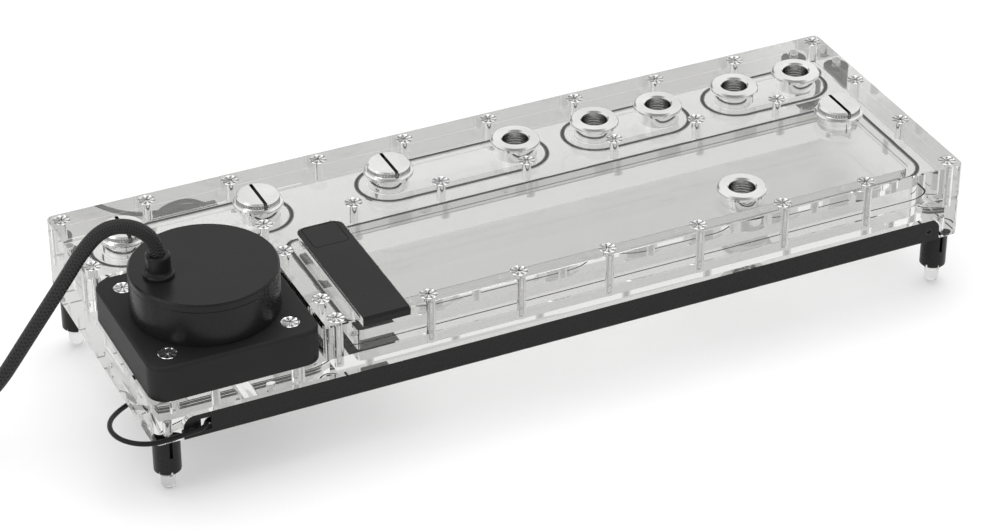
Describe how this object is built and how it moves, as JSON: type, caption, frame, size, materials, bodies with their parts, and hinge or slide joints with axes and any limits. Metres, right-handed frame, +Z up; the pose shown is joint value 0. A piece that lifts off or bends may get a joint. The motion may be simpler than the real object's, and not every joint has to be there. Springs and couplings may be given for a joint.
{
  "type": "water cooling distribution plate",
  "caption": "Clear acrylic water cooling distribution plate with a corner pump, metal ports, slotted stop plugs, a dark front rail and short legs.",
  "frame": {"origin": "on the floor under the middle of the plate", "axes": "+X along the plate away from the pump, +Y to the back row of ports, +Z up"},
  "size_m": [0.5731, 0.1363, 0.1131],
  "materials": {
    "clear_acrylic": "polished",
    "seal_rubber": "matte",
    "bright_nickel": "polished",
    "screw_steel": "satin",
    "plug_metal": "satin",
    "black_acetal": "matte",
    "black_metal": "satin",
    "dark_screw": "black oxide",
    "wound_core": "laminated, with copper windings",
    "circuit_board": "matte",
    "cup_plastic": "satin",
    "rotor_plastic": "satin",
    "ceramic": "polished",
    "clear_foot": "clear",
    "light_strip": "satin",
    "cable_sleeve": "braided",
    "cable_jacket": "satin",
    "plug_plastic": "matte"
  },
  "bodies": {
    "plate": {"base_plate": "clear_acrylic", "top_plate": "clear_acrylic", "plate_screws": "screw_steel", "reservoir_seal": "seal_rubber", "insert_seals": "seal_rubber", "pump_body": "black_acetal", "pump_seal": "seal_rubber", "pump_screws": "screw_steel", "motor_sleeve": "black_metal", "motor_cap": "black_metal", "motor_core": "wound_core", "drive_board": "circuit_board", "stator_cup": "cup_plastic", "bearing_ball": "ceramic", "cable_gland": "black_metal", "cover_bar": "black_metal", "blank_badge": "black_metal", "front_rail": "black_metal", "rail_screws": "dark_screw", "light_strip": "light_strip", "leg_studs": "screw_steel", "pump_cable": "cable_sleeve", "pump_cable_coil": "cable_sleeve", "pump_cable_plug": "plug_plastic", "light_cable": "cable_jacket", "light_cable_coil": "cable_jacket", "light_cable_plug": "plug_plastic", "channel_seal_1": "seal_rubber", "channel_seal_2": "seal_rubber", "channel_seal_3": "seal_rubber", "channel_seal_4": "seal_rubber", "port_insert_1": "bright_nickel", "port_insert_2": "bright_nickel", "port_insert_3": "bright_nickel", "port_insert_4": "bright_nickel", "port_insert_5": "bright_nickel", "port_insert_6": "bright_nickel", "port_insert_7": "bright_nickel", "port_insert_8": "bright_nickel", "port_insert_9": "bright_nickel", "port_insert_10": "bright_nickel", "leg_front_left": "black_metal", "foot_front_left": "clear_foot", "leg_front_right": "black_metal", "foot_front_right": "clear_foot", "leg_back_left": "black_metal", "foot_back_left": "clear_foot", "leg_back_right": "black_metal", "foot_back_right": "clear_foot"},
    "rotor": {"pump_rotor": "rotor_plastic"},
    "plug_1_lift": {"plug_seal_1": "seal_rubber"},
    "plug_1_turn": {"stop_plug_1": "plug_metal"},
    "plug_2_lift": {"plug_seal_2": "seal_rubber"},
    "plug_2_turn": {"stop_plug_2": "plug_metal"},
    "plug_3_lift": {"plug_seal_3": "seal_rubber"},
    "plug_3_turn": {"stop_plug_3": "plug_metal"},
    "plug_4_lift": {"plug_seal_4": "seal_rubber"},
    "plug_4_turn": {"stop_plug_4": "plug_metal"}
  },
  "joints": [
    {"name": "rotor_spin", "type": "hinge", "parent": "plate", "child": "rotor", "pos_m": [-0.156, -0.0285, 0.06055], "axis": [0, 0, 1], "continuous": true},
    {"name": "plug_1_rise", "type": "slide", "parent": "plate", "child": "plug_1_lift", "axis": [0, 0, 1], "range_m": [0, 0.006]},
    {"name": "plug_1_unscrew", "type": "hinge", "parent": "plug_1_lift", "child": "plug_1_turn", "pos_m": [-0.1688, 0.0385, 0.06635], "axis": [0, 0, 1], "range_deg": [0, 1620]},
    {"name": "plug_2_rise", "type": "slide", "parent": "plate", "child": "plug_2_lift", "axis": [0, 0, 1], "range_m": [0, 0.006]},
    {"name": "plug_2_unscrew", "type": "hinge", "parent": "plug_2_lift", "child": "plug_2_turn", "pos_m": [-0.1057, 0.0385, 0.06635], "axis": [0, 0, 1], "range_deg": [0, 1620]},
    {"name": "plug_3_rise", "type": "slide", "parent": "plate", "child": "plug_3_lift", "axis": [0, 0, 1], "range_m": [0, 0.006]},
    {"name": "plug_3_unscrew", "type": "hinge", "parent": "plug_3_lift", "child": "plug_3_turn", "pos_m": [-0.0426, 0.0385, 0.06635], "axis": [0, 0, 1], "range_deg": [0, 1620]},
    {"name": "plug_4_rise", "type": "slide", "parent": "plate", "child": "plug_4_lift", "axis": [0, 0, 1], "range_m": [0, 0.006]},
    {"name": "plug_4_unscrew", "type": "hinge", "parent": "plug_4_lift", "child": "plug_4_turn", "pos_m": [0.1673, -0.0019, 0.06635], "axis": [0, 0, 1], "range_deg": [0, 1620]}
  ],
  "couplings": [
    {"joint": "plug_1_unscrew", "follows": "plug_1_rise", "rad_per_m": 4699.5},
    {"joint": "plug_2_unscrew", "follows": "plug_2_rise", "rad_per_m": 4699.5},
    {"joint": "plug_3_unscrew", "follows": "plug_3_rise", "rad_per_m": 4699.5},
    {"joint": "plug_4_unscrew", "follows": "plug_4_rise", "rad_per_m": 4699.5}
  ]
}
